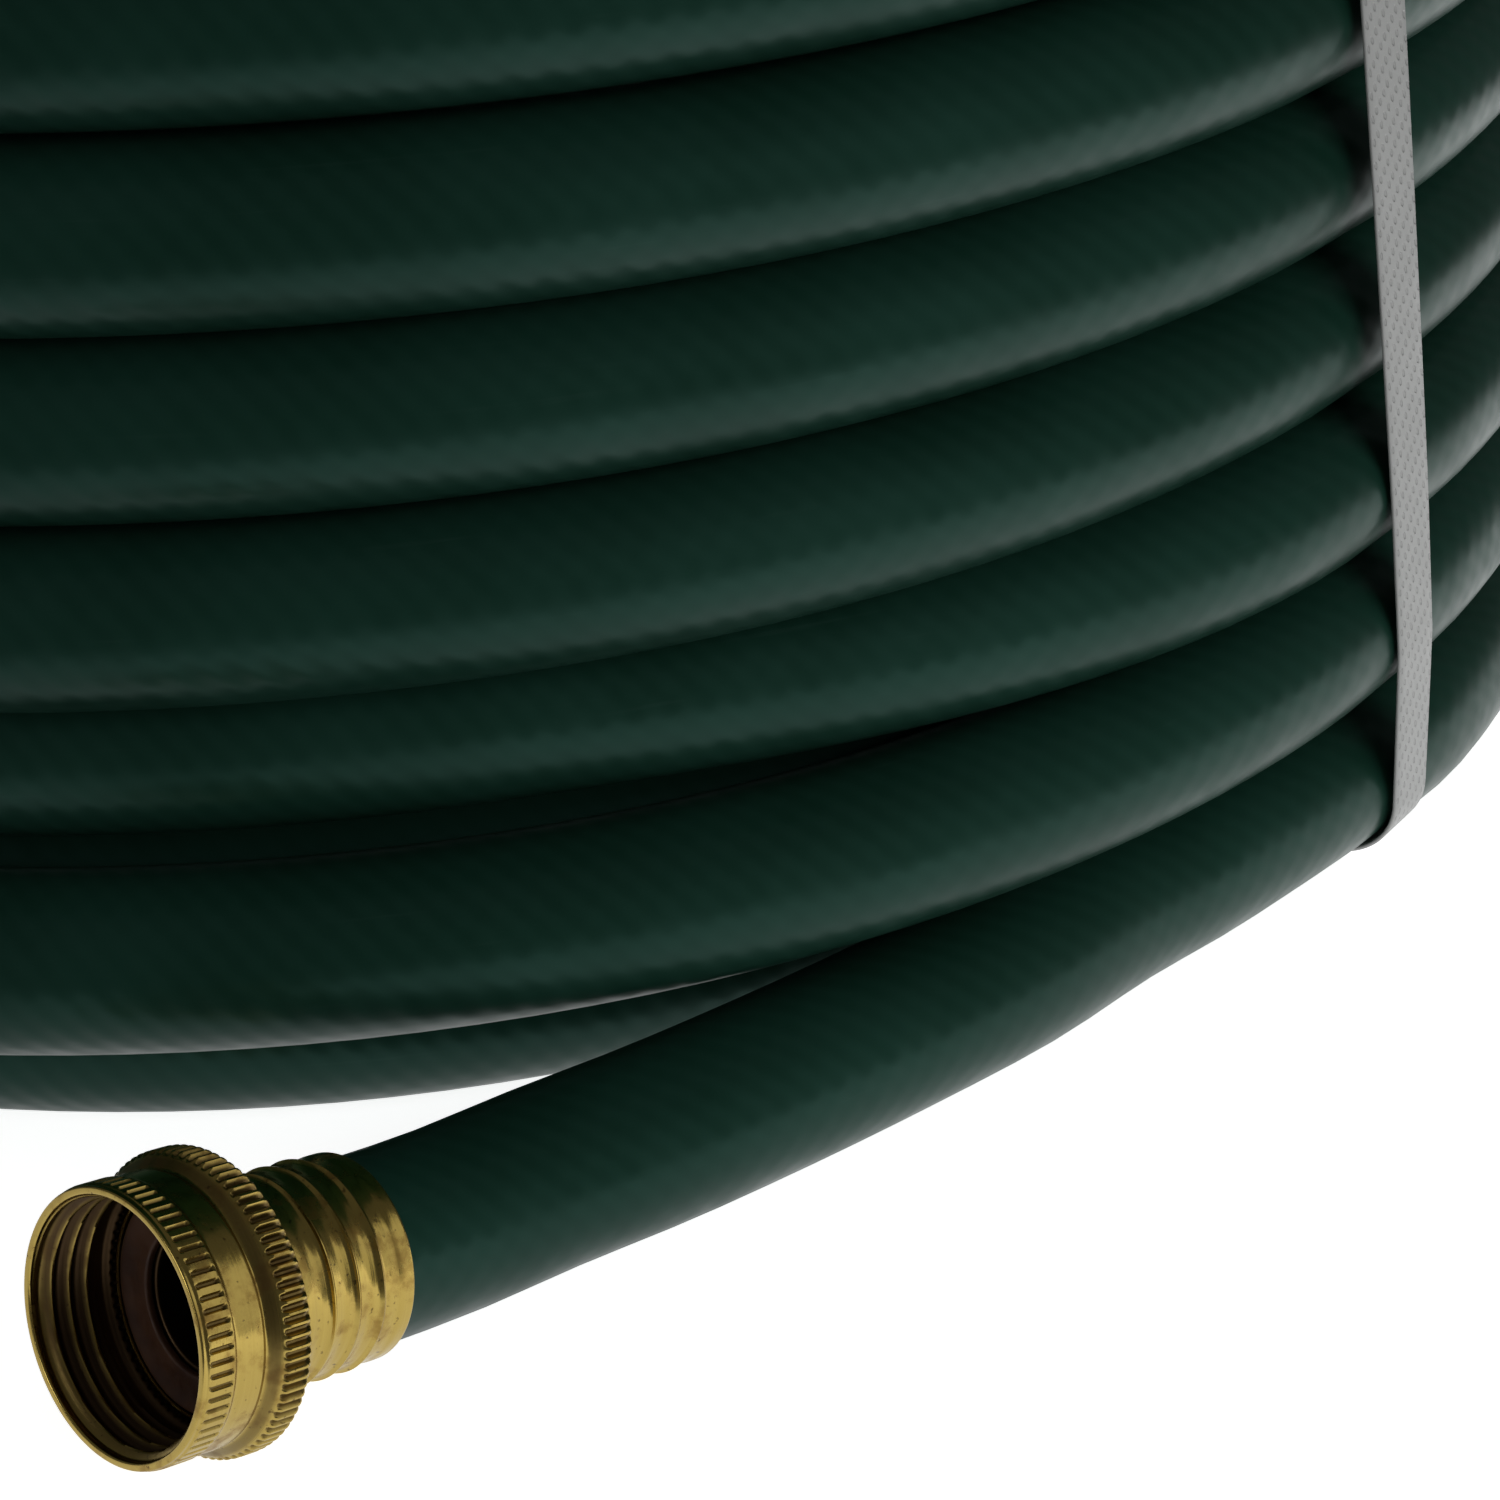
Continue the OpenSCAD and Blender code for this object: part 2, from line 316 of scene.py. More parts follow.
def hose_mesh(material):
    """The whole hose as one swept tube, with a closed face at each end."""
    side, up = sweep_frames(hose_path)
    turn = np.linspace(0, 2 * math.pi, HOSE_SIDES, endpoint=False)
    press = PINCH_DEPTH * strap_pinch(hose_path)[:, None] * np.maximum(np.cos(turn), 0)[None, :]
    radius = (HOSE_R - press)[:, :, None]
    ring = np.cos(turn)[None, :, None] * side[:, None, :] + np.sin(turn)[None, :, None] * up[:, None, :]
    verts = (hose_path[:, None, :] + radius * ring).reshape(-1, 3)
    rows = len(hose_path)
    faces = grid_faces(rows, HOSE_SIDES)[:, ::-1].tolist()
    ends = [list(range(HOSE_SIDES)), list(range((rows - 1) * HOSE_SIDES, rows * HOSE_SIDES))[::-1]]
    piece = new_piece("hose", verts, faces + ends, material)
    corner = np.array([v for f in faces for v in f])
    row, column = corner // HOSE_SIDES, corner % HOSE_SIDES
    column = column.reshape(-1, 4)
    wraps = (column.max(1) - column.min(1)) > 1
    column[wraps] += (column[wraps] == 0) * HOSE_SIDES
    across = column.ravel() / HOSE_SIDES
    uv = np.stack([hose_along[row], across * 2 * math.pi * HOSE_R], 1)
    set_uv(piece.data, "along_and_round", np.vstack([uv, np.zeros((2 * HOSE_SIDES, 2))]) * MM)
    return piece


# ---- materials ----


class Nodes:
    """A principled material with short calls for its nodes."""

    def __init__(self, name, **values):
        self.material = bpy.data.materials.new(name)
        self.material.use_nodes = True
        self.tree = self.material.node_tree
        self.shader = self.tree.nodes["Principled BSDF"]
        for key, value in values.items():
            self.shader.inputs[key.replace("_", " ")].default_value = value

    def add(self, kind, inputs=None, **settings):
        node = self.tree.nodes.new("ShaderNode" + kind)
        for key, value in settings.items():
            setattr(node, key, value)
        for key, value in (inputs or {}).items():
            self.set(node.inputs[key], value)
        return node

    def set(self, socket, value):
        if isinstance(value, bpy.types.NodeSocket):
            self.tree.links.new(value, socket)
        else:
            socket.default_value = value

    def math(self, operation, a, b=0.0, c=0.0):
        node = self.add("Math", {0: a, 1: b, 2: c}, operation=operation)
        return node.outputs[0]

    def noise(self, vector, scale, detail=3.0, roughness=0.5):
        inputs = {"Vector": vector, "Scale": scale, "Detail": detail, "Roughness": roughness}
        return self.add("TexNoise", inputs).outputs["Fac"]

    def ramp(self, value, low, high, out_low=0.0, out_high=1.0):
        inputs = {"Value": value, "From Min": low, "From Max": high,
                  "To Min": out_low, "To Max": out_high}
        return self.add("MapRange", inputs, interpolation_type="SMOOTHSTEP").outputs[0]

    def mix(self, share, a, b):
        node = self.add("Mix", data_type="RGBA")
        self.set(node.inputs[0], share)
        self.set(node.inputs[6], a)
        self.set(node.inputs[7], b)
        return node.outputs[2]

    def stretched(self, vector, scale):
        inputs = {0: vector, 1: scale}
        return self.add("VectorMath", inputs, operation="MULTIPLY").outputs[0]

    def uv(self, name):
        return self.add("UVMap", uv_map=name).outputs[0]

    def place(self):
        return self.add("TexCoord").outputs["Object"]

    def bump(self, height, distance, strength=1.0, under=None):
        inputs = {"Height": height, "Distance": distance, "Strength": strength}
        if under is not None:
            inputs["Normal"] = under
        return self.add("Bump", inputs).outputs[0]

    def finish(self, **sockets):
        for key, value in sockets.items():
            self.set(self.shader.inputs[key.replace("_", " ")], value)
        return self.material


YARN_STARTS = 14        # yarns side by side in each spiral layer
YARN_ANGLE = math.radians(50)


def hose_material():
    """Dark green vinyl cover. The yarn under it shows as faint slanting ridges."""
    n = Nodes("hose_cover", Specular_IOR_Level=0.27, Specular_Tint=(0.45, 1.0, 0.86, 1))
    split = n.add("SeparateXYZ", {0: n.uv("along_and_round")})
    along, across = split.outputs[0], split.outputs[1]
    place = n.place()
    patches = n.noise(place, 45.0, 2.0)
    drift = n.math("MULTIPLY", n.noise(place, 110.0, 2.0), 2.2)
    around = n.math("MULTIPLY_ADD", across, YARN_STARTS / (HOSE_R * MM), drift)
    lean = YARN_STARTS * math.tan(YARN_ANGLE) / (HOSE_R * MM)
    right = n.math("SINE", n.math("MULTIPLY_ADD", along, lean, around))
    left = n.math("SINE", n.math("MULTIPLY_ADD", along, -lean, around))
    fade = n.ramp(patches, 0.3, 0.7, 0.45, 1.0)
    yarn = n.math("MULTIPLY_ADD", left, 0.3, right)
    swell = n.noise(place, 32.0, 2.0, 0.4)
    fine = n.noise(place, 1200.0, 2.0)
    normal = n.bump(swell, 0.0009, 0.6)
    normal = n.bump(n.math("MULTIPLY", yarn, fade), 0.000024, 1.0, normal)
    normal = n.bump(fine, 0.00003, 0.2, normal)
    dark, light = (0.0050, 0.0215, 0.0138, 1), (0.0066, 0.0265, 0.0178, 1)
    over_yarn, scuffed = (0.010, 0.034, 0.024, 1), (0.03, 0.06, 0.05, 1)
    tone = n.mix(n.ramp(patches, 0.35, 0.65), dark, light)
    tone = n.mix(n.math("MULTIPLY", n.ramp(yarn, -1.0, 1.0), 0.22), tone, over_yarn)
    streaks = n.noise(n.stretched(n.uv("along_and_round"), (35.0, 900.0, 1.0)), 1.0, 3.0)
    scuff = n.ramp(streaks, 0.63, 0.78)
    colour = n.mix(n.math("MULTIPLY", scuff, 0.12), tone, scuffed)
    roughness = n.ramp(n.noise(place, 160.0, 3.0), 0.3, 0.75, 0.30, 0.40)
    return n.finish(Base_Color=colour, Roughness=roughness, Normal=normal)


def brass_material(name):
    """Stamped brass: yellow, with brown tarnish in patches, specks and fine turning marks, and dark brown
    painted shade, also rougher, in its hollows.
    """
    n = Nodes(name, Metallic=1.0)
    place = n.place()
    ring = n.stretched(n.uv("round_and_along"), (25.0, 4200.0, 1.0))
    marks = n.noise(ring, 1.0, 4.0, 0.6)
    cloud = n.noise(place, 260.0, 4.0, 0.6)
    speck = n.ramp(n.noise(place, 1500.0, 2.0), 0.66, 0.74)
    stain = n.ramp(cloud, 0.48, 0.7)
    yellow, bright = (0.48, 0.34, 0.083, 1), (0.63, 0.47, 0.13, 1)
    # The last, dark brown colour here is painted shade for the hollows.
    tarnish, spot, shade_brown = (0.27, 0.135, 0.032, 1), (0.10, 0.055, 0.02, 1), (0.085, 0.052, 0.026, 1)
    clean = n.mix(marks, yellow, bright)
    worn = n.mix(n.math("MULTIPLY", stain, 0.6), clean, tarnish)
    worn = n.mix(n.math("MULTIPLY", speck, 0.7), worn, spot)
    hollow_shade = n.add("SeparateXYZ", {0: n.uv("painted_shade")}).outputs[0]
    # Painted shade: the hollows that the lathe marks are painted dark brown here, and made rougher below.
    colour = n.mix(hollow_shade, worn, shade_brown)
    rough = n.math("ADD", n.math("ADD", stain, n.math("MULTIPLY", marks, 0.5)), hollow_shade)
    roughness = n.ramp(rough, 0.0, 1.6, 0.17, 0.46)
    normal = n.bump(marks, 0.00004, 0.35)
    normal = n.bump(n.noise(place, 420.0, 3.0), 0.00012, 0.3, normal)
    return n.finish(Base_Color=colour, Roughness=roughness, Normal=normal)


def rubber_material(name, dark, light, rough_low, rough_high):
    """Moulded rubber or vinyl, cloudy between a dark and a light colour, with a fine grain."""
    n = Nodes(name, Specular_IOR_Level=0.4)
    place = n.place()
    grain = n.noise(place, 900.0, 4.0, 0.6)
    cloud = n.noise(place, 180.0, 3.0)
    colour = n.mix(n.ramp(cloud, 0.35, 0.65), (*dark, 1), (*light, 1))
    normal = n.bump(grain, 0.00008, 0.4)
    return n.finish(Base_Color=colour, Roughness=n.ramp(grain, 0.3, 0.7, rough_low, rough_high),
                    Normal=normal)


def yarn_material():
    """White polyester yarn, wound in spirals."""
    n = Nodes("hose_yarn", Roughness=0.7, Sheen_Weight=0.2)
    place = n.place()
    strands = n.add("TexWave", {"Vector": place, "Scale": 500.0, "Distortion": 2.0}).outputs["Fac"]
    colour = n.mix(strands, (0.52, 0.51, 0.46, 1), (0.78, 0.77, 0.72, 1))
    return n.finish(Base_Color=colour, Normal=n.bump(strands, 0.0002, 0.6))


# Spacing of the strap's rows of dashes and of the dashes along a row, in metres, and the radians
# that the dashes shift by for each metre across the strap
DASH_ROW = 0.0016
DASH_PITCH = 0.0028
DASH_SLANT = 1600.0


def strap_material():
    """Pale grey plastic strapping with a pressed pattern of small slanting dashes."""
    n = Nodes("strap_plastic", Specular_IOR_Level=0.45)
    split = n.add("SeparateXYZ", {0: n.uv("strap_run")})
    along, across = split.outputs[0], split.outputs[1]
    rows = n.math("SINE", n.math("MULTIPLY", across, 2 * math.pi / DASH_ROW))
    run = n.math("MULTIPLY", along, 2 * math.pi / DASH_PITCH)
    slant = n.math("MULTIPLY_ADD", across, DASH_SLANT, run)
    dashes = n.math("MULTIPLY", rows, n.math("SINE", slant))
    press = n.ramp(dashes, 0.35, 0.75)
    place = n.place()
    cloud = n.noise(place, 120.0, 3.0)
    dark, light, dash_shade = (0.25, 0.255, 0.25, 1), (0.31, 0.315, 0.31, 1), (0.16, 0.165, 0.16, 1)
    tone = n.mix(cloud, dark, light)
    # Painted shade: the pressed-in dashes are painted darker.
    colour = n.mix(n.math("MULTIPLY", press, 0.3), tone, dash_shade)
    fibre = n.noise(n.stretched(n.uv("strap_run"), (60.0, 5200.0, 1.0)), 1.0, 2.0)
    normal = n.bump(fibre, 0.00005, 0.3)
    normal = n.bump(press, -0.00016, 0.8, normal)
    return n.finish(Base_Color=colour, Roughness=n.ramp(cloud, 0.3, 0.7, 0.34, 0.5), Normal=normal)


hose_cover = hose_material()
brass = brass_material("brass")
liner_rubber = rubber_material("liner_rubber", dark=(0.010, 0.011, 0.011), light=(0.020, 0.021, 0.021),
                               rough_low=0.5, rough_high=0.7)
washer_rubber = rubber_material("washer_rubber", dark=(0.045, 0.018, 0.009),
                                light=(0.085, 0.036, 0.017), rough_low=0.45, rough_high=0.65)
cover_end = rubber_material("cover_end", dark=(0.007, 0.027, 0.0205), light=(0.0095, 0.034, 0.0265),
                            rough_low=0.4, rough_high=0.5)
cap_rubber = rubber_material("cap_rubber", dark=(0.012, 0.012, 0.012), light=(0.025, 0.024, 0.023),
                             rough_low=0.5, rough_high=0.7)
yarn = yarn_material()
strap_plastic = strap_material()

# ---- turned and stamped pieces ----

# Heights along a coupling, from the ferrule's open end, and radii, as in the CAD model
INSERT_BACK = 0.6
HOSE_STOP = 15.2
NUT_BACK = 17.0
RECESS_BACK = 18.0
THREAD_BACK = 20.8
NUT_FRONT = 30.0
NUT_HOLE_R = 9.0
NECK_R = 8.9
RECESS_R = 12.9
FLANGE_R = 15.9
BAND_R = 14.45
FEMALE_R = 13.62
MALE_R = 13.49
BORE_R = 7.25
INSERT_R = 7.95
TAIL_FLANGE_R = 12.4
COLLAR_R = 14.4
FERRULE_R = 10.85
FERRULE_BORE_R = 10.15
FERRULE_L = 16.4
FERRULE_RIDGES = (4.3, 7.5, 10.7)
THREAD_PITCH = 25.4 / 11.5
THREAD_DEPTH = 0.95
THREAD_CREST = 1.5      # above 1, the crests are narrower than the roots
KNURLS = 70
FLANGE_SLOTS = 84
# Segments round the nut, round the shank and the cap, and round the plain pieces. The first is
# whole slots and knurls, and the second is whole knurls.
NUT_SEGMENTS = 840
FAR_SEGMENTS = 560
PLAIN_SEGMENTS = 192
PROFILE_STEP = 0.2
SHARP_CORNER = 0.02     # a smaller rounding than this is left out
SHARP_EDGE = math.radians(48)
# Hole radius, outer radius, back and front of each washer
HOSE_WASHER = (7.6, 11.95, 18.95, 19.9)
CAP_WASHER = (6.5, 13.1, 32.6, 34.9)


def coupling_place(route, aim):
    """The matrix that puts a piece, drawn along +Z, at the end of the hose."""
    heading, tilt = (math.radians(v) for v in aim)
    turn = Matrix.Rotation(heading, 4, "Z") @ Matrix.Rotation(math.pi / 2 - tilt, 4, "Y")
    return np.array(Matrix.Translation(route[0]) @ turn)


inlet_place = coupling_place(INLET_ROUTE, INLET_AIM)
outlet_place = coupling_place(OUTLET_ROUTE, OUTLET_AIM)


def rounded_line(corners, step=PROFILE_STEP, closed=False):
    """Points along a line whose corners (height, radius, rounding) are rounded off."""
    points = [np.array(c[:2], float) for c in corners]
    count = len(points)
    line = []
    for i, corner in enumerate(corners):
        here = points[i]
        if not closed and i in (0, count - 1):
            line.append(here)
            continue
        before, after = points[i - 1] - here, points[(i + 1) % count] - here
        reach = min(corner[2], 0.45 * np.linalg.norm(before), 0.45 * np.linalg.norm(after))
        start = here + before / np.linalg.norm(before) * reach
        end = here + after / np.linalg.norm(after) * reach
        if reach < SHARP_CORNER:
            line.append(here)
            continue
        bends = max(3, int(reach / step * 2) + 2)
        for t in np.linspace(0, 1, bends):
            line.append((1 - t) ** 2 * start + 2 * t * (1 - t) * here + t * t * end)
    if closed:
        line.append(line[0])
    filled = [line[0]]
    for a, b in zip(line[:-1], line[1:]):
        parts = max(1, int(math.ceil(np.linalg.norm(b - a) / step)))
        filled += [a + (b - a) * k / parts for k in range(1, parts + 1)]
    if closed:
        filled = filled[:-1]
    return np.array(filled)


def lathe(name, profile, segments, place, material, relief=None, closed=True, painted_hollow_shade=None):
    """Turns a profile of (height, radius) about +Z. Its outer side runs upwards. An open profile
    gets a flat face at each end. relief says how far each point stands out from its radius, and
    the last function how much painted shade, dark and rough, each point gets, from 0 for none to 1 for
    full."""
    theta = np.linspace(0, 2 * math.pi, segments, endpoint=False)
    height, radius = profile[:, 0][:, None], profile[:, 1][:, None]
    out = np.zeros((len(profile), segments)) if relief is None else relief(height, radius, theta[None, :])
    r = radius + out
    x, y, z = r * np.cos(theta), r * np.sin(theta), height + 0 * r
    verts = np.stack([x, y, z, np.ones_like(x)], -1).reshape(-1, 4) @ place.T
    faces = grid_faces(len(profile), segments, closed).tolist()
    last = (len(profile) - 1) * segments
    ends = [] if closed else [list(range(segments))[::-1], list(range(last, last + segments))]
    piece = new_piece(name, verts[:, :3], faces + ends, material)
    length = np.concatenate([[0], np.cumsum(np.linalg.norm(np.diff(profile, axis=0), axis=1))])
    corner = np.array([v for f in faces for v in f])
    row, column = corner // segments, (corner % segments).reshape(-1, 4)
    wraps = (column.max(1) - column.min(1)) > 1
    column[wraps] += (column[wraps] == 0) * segments
    uv = np.stack([column.ravel() / segments * 2 * math.pi * FEMALE_R, length[row]], 1)
    uv_of_ends = np.zeros((len(ends) * segments, 2))
    set_uv(piece.data, "round_and_along", np.vstack([uv * MM, uv_of_ends]))
    # Painted shade in the hollows goes into its own UV layer, for the brass to darken and roughen.
    hollow_shade = 0 * out if painted_hollow_shade is None else painted_hollow_shade(height, radius, out) + 0 * out
    hollow_shade_uv = np.repeat(hollow_shade.ravel()[corner][:, None], 2, 1)
    set_uv(piece.data, "painted_shade", np.vstack([hollow_shade_uv, uv_of_ends]))
    piece.data.set_sharp_from_angle(angle=SHARP_EDGE)
    return piece


def soft_box(value, low, high, edge):
    """1 between low and high and 0 outside, over soft edges, for arrays."""
    up = np.clip((value - low) / edge, 0, 1)
    down = np.clip((high - value) / edge, 0, 1)
    t = np.minimum(up, down)
    return t * t * (3 - 2 * t)


def helix_ridge(height, theta, shift=0.0):
    """A rolled right-hand thread: 1 on its crest and 0 in its root. shift is in pitches."""
    turns = height / THREAD_PITCH + shift - theta / (2 * math.pi)
    return (0.5 + 0.5 * np.cos(2 * math.pi * turns)) ** THREAD_CREST


def slots(theta, count, width):
    """1 in the middle of each of count slots round the circle and 0 between them."""
    phase = (theta * count / (2 * math.pi)) % 1.0
    return np.clip((width / 2 - np.abs(phase - 0.5)) / (width * 0.3), 0, 1)


def crimped_ferrule(name, place):
    """Thin sleeve with a rolled mouth, three sharp ridges and slightly hollow bands between them."""
    wall = FERRULE_R - FERRULE_BORE_R
    front = FERRULE_L
    mouth_r = FERRULE_R + 0.15
    ridge_high, ridge_wide = 0.42, 0.24
    dip_deep, dip_wide, dip_past = 0.2, 0.9, 1.5
    crimp_deep = 0.035
    profile = rounded_line([
        (0.0, FERRULE_BORE_R, 0.3), (0.0, mouth_r, 0.45), (1.5, mouth_r, 0.8),
        (2.2, FERRULE_R, 0.5), (front, FERRULE_R, 0.9), (front, NECK_R, 0.1),
        (front - wall, NECK_R, 0.1), (front - wall, FERRULE_BORE_R, 0.2),
    ], step=0.14, closed=True)

    def relief(height, radius, theta):
        out = np.zeros((len(height), theta.shape[1]))
        outside = radius > FERRULE_R - 0.05
        for ridge in FERRULE_RIDGES:
            out += outside * ridge_high * np.exp(-((height - ridge) / ridge_wide) ** 2)
            out -= outside * dip_deep * np.exp(-((height - ridge - dip_past) / dip_wide) ** 2)
        crimps = np.cos(8 * theta + 0.6) + 0.5 * np.cos(3 * theta)
        return out + outside * crimp_deep * crimps * soft_box(height, 2.0, 13.0, 1.5)

    return lathe(name, profile, PLAIN_SEGMENTS, place, brass, relief)


def knurled_nut(name, place):
    """Stamped swivel nut: slotted flange, plain band, finely knurled ring and rolled rim, with a
    rolled thread, a recess for the washer and a back wall that turns on the neck."""
    knurl_back, knurl_front = 26.2, 29.3
    flange_front = 20.4
    slot_depth, tooth_depth, dimple_depth = 0.55, 0.3, 0.2
    profile = rounded_line([
        (NUT_BACK, NUT_HOLE_R, 0.15), (NUT_BACK, FLANGE_R - 1.1, 0.4),
        (NUT_BACK + 0.5, FLANGE_R - 0.3, 0.3), (NUT_BACK + 1.0, FLANGE_R, 0.3),
        (flange_front, FLANGE_R, 0.35), (flange_front + 0.4, FLANGE_R - 0.4, 0.3),
        (flange_front + 1.0, BAND_R + 0.45, 0.5), (flange_front + 1.7, BAND_R - 0.2, 0.5),
        (flange_front + 2.2, BAND_R, 0.5),
        (knurl_back - 0.4, BAND_R - 0.15, 0.5), (knurl_back, BAND_R + 0.1, 0.2),
        (knurl_front, BAND_R + 0.1, 0.2), (knurl_front + 0.2, BAND_R - 0.1, 0.2),
        (NUT_FRONT, BAND_R - 0.05, 0.4), (NUT_FRONT, FEMALE_R - 0.1, 0.35),
        (NUT_FRONT - 0.7, FEMALE_R - 0.1, 0.2), (NUT_FRONT - 0.9, FEMALE_R, 0.2),
        (THREAD_BACK, FEMALE_R, 0.3), (THREAD_BACK - 0.5, RECESS_R, 0.3),
        (RECESS_BACK, RECESS_R, 0.4), (RECESS_BACK, NUT_HOLE_R, 0.15),
    ], closed=True)

    def relief(height, radius, theta):
        flange = (radius > FLANGE_R - 0.8) & (height < flange_front + 0.7)
        slot = slots(theta, FLANGE_SLOTS, 0.7) * soft_box(height, 17.1, 20.85, 0.45)
        ring = (radius > BAND_R - 0.1) & (height > knurl_back - 0.3)
        tooth = slots(theta, KNURLS, 0.5) * soft_box(height, knurl_back, knurl_front, 0.4)
        inside = (radius < FEMALE_R + 0.02) & (height > THREAD_BACK - 0.4)
        thread = helix_ridge(height, theta, 0.2) * soft_box(height, 21.6, 29.6, 0.7)
        wall = (radius < RECESS_R + 0.1) & (radius > RECESS_R - 0.1)
        dimple = slots(theta, KNURLS, 0.5) * soft_box(height, 19.5, 20.3, 0.3)
        cuts = flange * slot_depth * slot + ring * tooth_depth * tooth
        return wall * dimple_depth * dimple - cuts - inside * THREAD_DEPTH * thread

    # Painted shade: darker and rougher deeper inside the nut, less so on the thread's crests, and in the
    # knurl cuts and the groove between flange and band.
    def painted_hollow_shade(height, radius, out):
        rim = NUT_FRONT - 0.4
        inside = (radius < FEMALE_R + 0.05) & (height < rim)
        deep = np.clip((rim - height) / 1.5, 0, 1)
        crest = np.clip(-out / THREAD_DEPTH, 0, 1) ** 8
        cut = (radius > BAND_R - 0.2) * np.clip(-out / tooth_depth, 0, 1)
        hollow = (radius > BAND_R - 0.5) * soft_box(height, 20.75, 22.2, 0.5)
        return inside * deep * (1 - 0.8 * crest) + np.maximum(0.75 * cut, 0.6 * hollow)

    return lathe(name, profile, NUT_SEGMENTS, place, brass, relief, painted_hollow_shade=painted_hollow_shade)


def tailpiece(name, place):
    """Insert, neck and flange, with a thin lip round the washer's seat, kept clear of the painted shade
    on the bore and the neck.
    """
    seat, lip = 18.8, 20.0
    flange_back, seat_r = 18.2, 12.1
    profile = rounded_line([
        (INSERT_BACK, BORE_R, 0.1), (INSERT_BACK, INSERT_R, 0.2), (HOSE_STOP, INSERT_R, 0.1),
        (HOSE_STOP, NECK_R, 0.15), (flange_back, NECK_R, 0.3), (flange_back, TAIL_FLANGE_R, 0.3),
        (lip, TAIL_FLANGE_R, 0.14), (lip, seat_r + 0.02, 0.14), (seat, seat_r, 0.2),
        (seat, BORE_R, 0.3),
    ], closed=True)

    # Painted shade: the bore and the neck up to the lip are painted darker and rougher.
    def painted_hollow_shade(height, radius, out):
        return (radius < seat_r) | ((height > HOSE_STOP) & (height < lip - 0.2))

    return lathe(name, profile, PLAIN_SEGMENTS, place, brass, painted_hollow_shade=painted_hollow_shade)


def ring_washer(name, sizes, place, material):
    """Flat washer with soft edges, a slightly hollow face and a slightly wavy rim."""
    hole_r, outer_r, back, front = sizes
    dish, wave = 0.35, 0.06
    middle = (hole_r + outer_r) / 2
    profile = rounded_line([
        (back, hole_r, 0.3), (back, outer_r, 0.35), (front, outer_r, 0.5),
        (front - dish, middle, 1.2), (front, hole_r, 0.6),
    ], closed=True)

    def relief(height, radius, theta):
        return wave * np.cos(5 * theta + 1.0) * (radius > middle)

    return lathe(name, profile, PLAIN_SEGMENTS, place, material, relief)


def threaded_shank(name, place):
    """Insert, collar and male hose thread."""
    collar_back, collar_front, front, chamfer = 16.6, 18.4, 32.4, 0.8
    profile = rounded_line([
        (INSERT_BACK, BORE_R, 0.1), (INSERT_BACK, INSERT_R, 0.2), (HOSE_STOP, INSERT_R, 0.1),
        (HOSE_STOP, NECK_R, 0.15), (collar_back, NECK_R, 0.2), (collar_back, COLLAR_R, 0.3),
        (collar_front, COLLAR_R, 0.3), (collar_front, MALE_R, 0.1), (front - chamfer, MALE_R, 0.3),
        (front, MALE_R - chamfer, 0.2), (front, BORE_R, 0.3),
    ], closed=True)

    def relief(height, radius, theta):
        outside = (radius > MALE_R - chamfer - 0.1) & (radius < MALE_R + 0.1)
        roots = THREAD_DEPTH * (1 - helix_ridge(height, theta))
        return -1.0 * outside * roots * soft_box(height, collar_front + 0.2, front + 2, 0.8)

    return lathe(name, profile, FAR_SEGMENTS, place, brass, relief)


def knurled_cap(name, place):
    """End cap with a ribbed skirt, a rolled mouth, an inner thread and a sunk end face."""
    mouth, wall_back, front, skirt_r = 22.0, 35.1, 36.5, 15.8
    axis_r, sunk_r, sunk = 0.5, 11.0, 0.5
    band, rib_depth = 1.4, 0.4
    profile = rounded_line([
        (wall_back, axis_r, 0), (wall_back, FEMALE_R, 0.3), (mouth, FEMALE_R, 0.3),
        (mouth, skirt_r, 0.4), (mouth + band, skirt_r, 0.4), (mouth + 1.8, skirt_r - 0.2, 0.2),
        (front - 1.8, skirt_r - 0.2, 0.3), (front - band, skirt_r, 0.4), (front, skirt_r, 0.9),
        (front, sunk_r + 0.8, 0.6), (front - sunk, sunk_r, 0.6), (front - sunk, axis_r, 0),
    ])

    def relief(height, radius, theta):
        outside = radius > skirt_r - 0.3
        ribs = rib_depth * slots(theta, KNURLS, 0.62)
        ribs = ribs * soft_box(height, mouth + 1.9, front - 1.9, 0.7)
        inside = (radius < FEMALE_R + 0.02) & (radius > FEMALE_R - 0.3) & (height < wall_back - 0.4)
        ridge = THREAD_DEPTH * helix_ridge(height, theta, 0.5)
        return -1.0 * outside * ribs - inside * ridge * soft_box(height, 22.4, 32.4, 0.8)

    return lathe(name, profile, FAR_SEGMENTS, place, brass, relief, closed=False)


# ---- straps ----

STRAP_W = 8.0
STRAP_T = 0.5
STRAP_GAP = 0.1
STRAP_EDGE = 0.14       # rounding of the strap's edges
TAB_L = 40.0            # the overlap where the strap's two ends are welded
WELD_SINK = 0.18
WELD_RIBS = 3.1         # radians a millimetre
STRAP_STEP = 2.0
STRAP_TURN = 3.0        # degrees between the normals of the strap's line where it goes round a turn
COIL_MIN_R = INNER_R - 13.5


def turns_crossed(strap):
    """(radius, height) of each turn of the coil where the strap passes it."""
    radius, angle = about_axis(hose_path)
    off = (angle - strap_angle(strap, hose_path[:, 2]) + 180) % 360 - 180
    cross = (off[:-1] < 0) & (off[1:] >= 0) & (off[1:] - off[:-1] < 90) & (radius[:-1] > COIL_MIN_R)
    share = (-off[:-1] / (off[1:] - off[:-1] + 1e-9))[cross]
    at = np.nonzero(cross)[0]
    return np.stack([radius[at] + share * (radius[at + 1] - radius[at]),
                     hose_path[at, 2] + share * (hose_path[at + 1, 2] - hose_path[at, 2])], 1)


